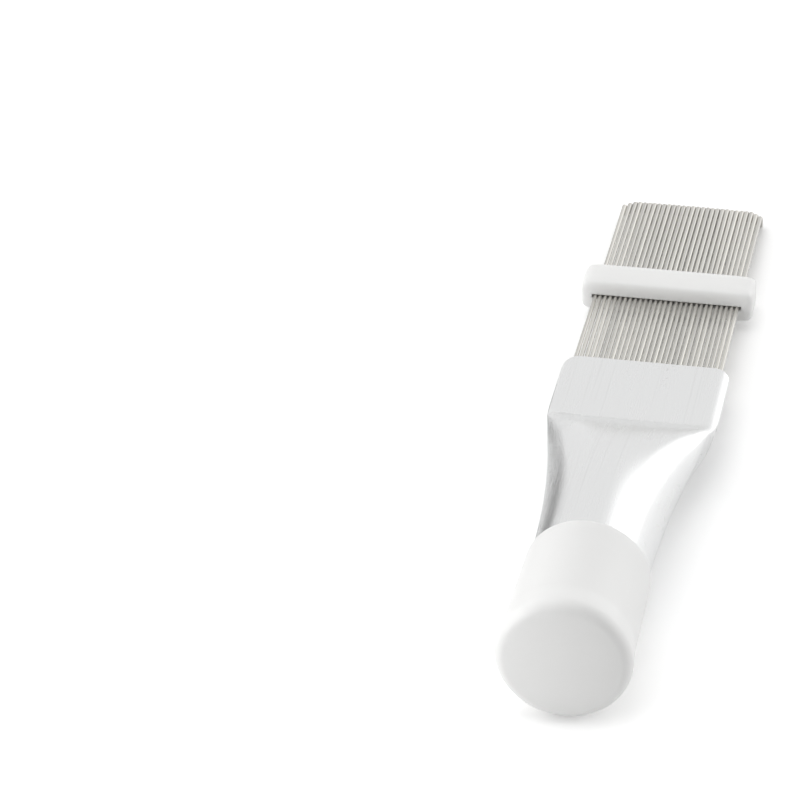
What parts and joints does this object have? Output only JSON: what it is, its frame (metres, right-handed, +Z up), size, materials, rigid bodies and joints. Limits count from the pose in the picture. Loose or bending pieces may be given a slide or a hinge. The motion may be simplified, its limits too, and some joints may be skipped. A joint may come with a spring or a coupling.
{
  "type": "fin comb",
  "caption": "Hand comb for straightening air conditioner fins: a flattened metal tube handle with an end cap, a row of hooked steel wires and a sliding spacer bar.",
  "frame": {"origin": "middle of the comb's box, on the surface that it lies on", "axes": "X across the row of wires, Y along the comb from the cap to the tips, Z up"},
  "size_m": [0.0354, 0.1709, 0.0255],
  "materials": {
    "handle": "bright drawn tube with fine lengthwise lines and light scuffs",
    "wire": "bright drawn stainless wire",
    "slider": "white moulded plastic, semi gloss",
    "cap": "white soft plastic, satin"
  },
  "bodies": {
    "comb": {"handle_tube": "handle", "end_cap": "cap", "wire_01": "wire", "wire_02": "wire", "wire_03": "wire", "wire_04": "wire", "wire_05": "wire", "wire_06": "wire", "wire_07": "wire", "wire_08": "wire", "wire_09": "wire", "wire_10": "wire", "wire_11": "wire", "wire_12": "wire", "wire_13": "wire", "wire_14": "wire", "wire_15": "wire", "wire_16": "wire", "wire_17": "wire", "wire_18": "wire", "wire_19": "wire", "wire_20": "wire", "wire_21": "wire", "wire_22": "wire", "wire_23": "wire", "wire_24": "wire", "wire_25": "wire", "wire_26": "wire", "wire_27": "wire", "wire_28": "wire", "wire_29": "wire"},
    "spacer": {"slider": "slider"}
  },
  "joints": [
    {"name": "slider_travel", "type": "slide", "parent": "comb", "child": "spacer", "axis": [0, 0.998, -0.0625], "range_m": [-0.0256, 0.03003]}
  ]
}
